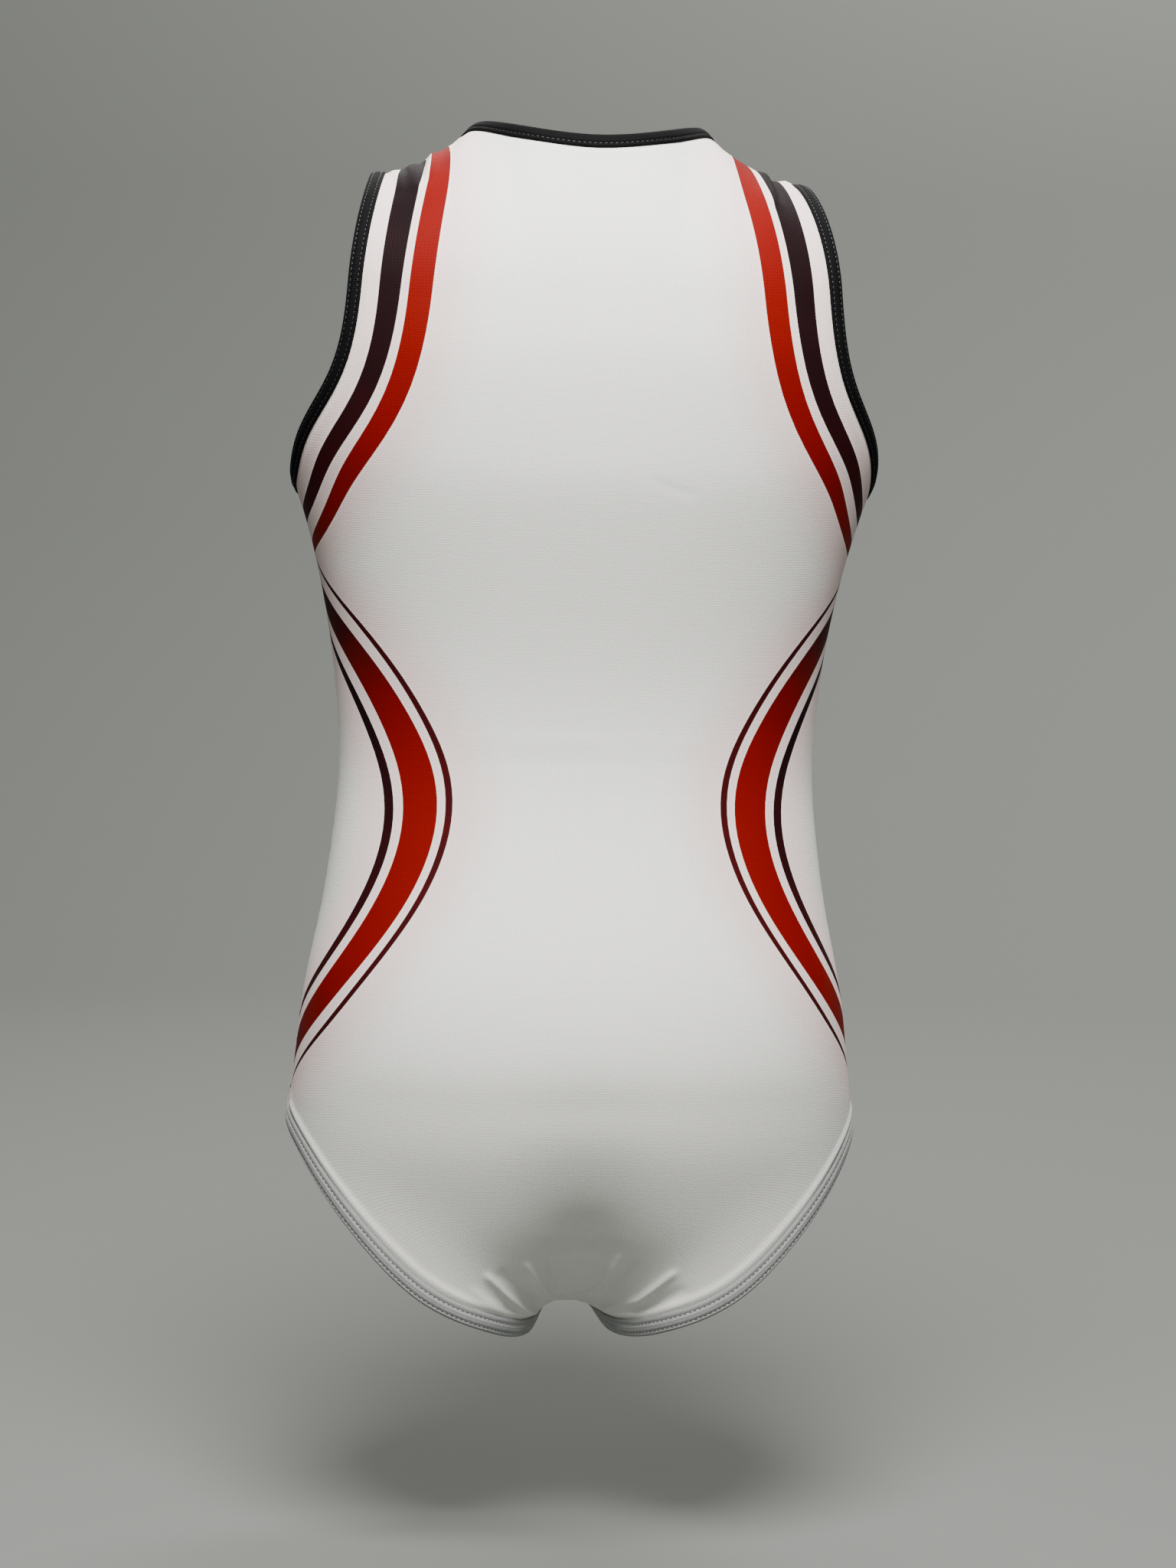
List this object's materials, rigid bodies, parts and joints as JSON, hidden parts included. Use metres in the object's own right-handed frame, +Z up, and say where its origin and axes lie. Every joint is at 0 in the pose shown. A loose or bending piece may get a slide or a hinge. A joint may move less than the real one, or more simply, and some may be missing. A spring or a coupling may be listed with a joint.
{
  "type": "leotard",
  "caption": "Sleeveless stretch-knit leotard, hollow and filled out as worn: scooped neck, full seat, bound neck and armholes, elastic leg bands, mirrored printed stripes.",
  "frame": {"origin": "midway between the two shoulders, at the height where the shoulder seams rest on the wearer", "axes": "+Z up, +Y out of the front of the garment, so the back faces -Y, and +X towards the wearer's right"},
  "size_m": [0.28, 0.1857, 0.5757],
  "materials": {
    "printed_knit": "smooth matte white stretch knit with printed stripes in black, maroon and red",
    "black_binding": "matte black folded knit binding",
    "grey_band": "soft light grey folded elastic band"
  },
  "bodies": {
    "root": {"back_panel": "printed_knit", "front_panel": "printed_knit", "neck_binding": "black_binding", "armhole_binding_left": "black_binding", "armhole_binding_right": "black_binding", "leg_band_left": "grey_band", "leg_band_right": "grey_band"}
  },
  "joints": []
}
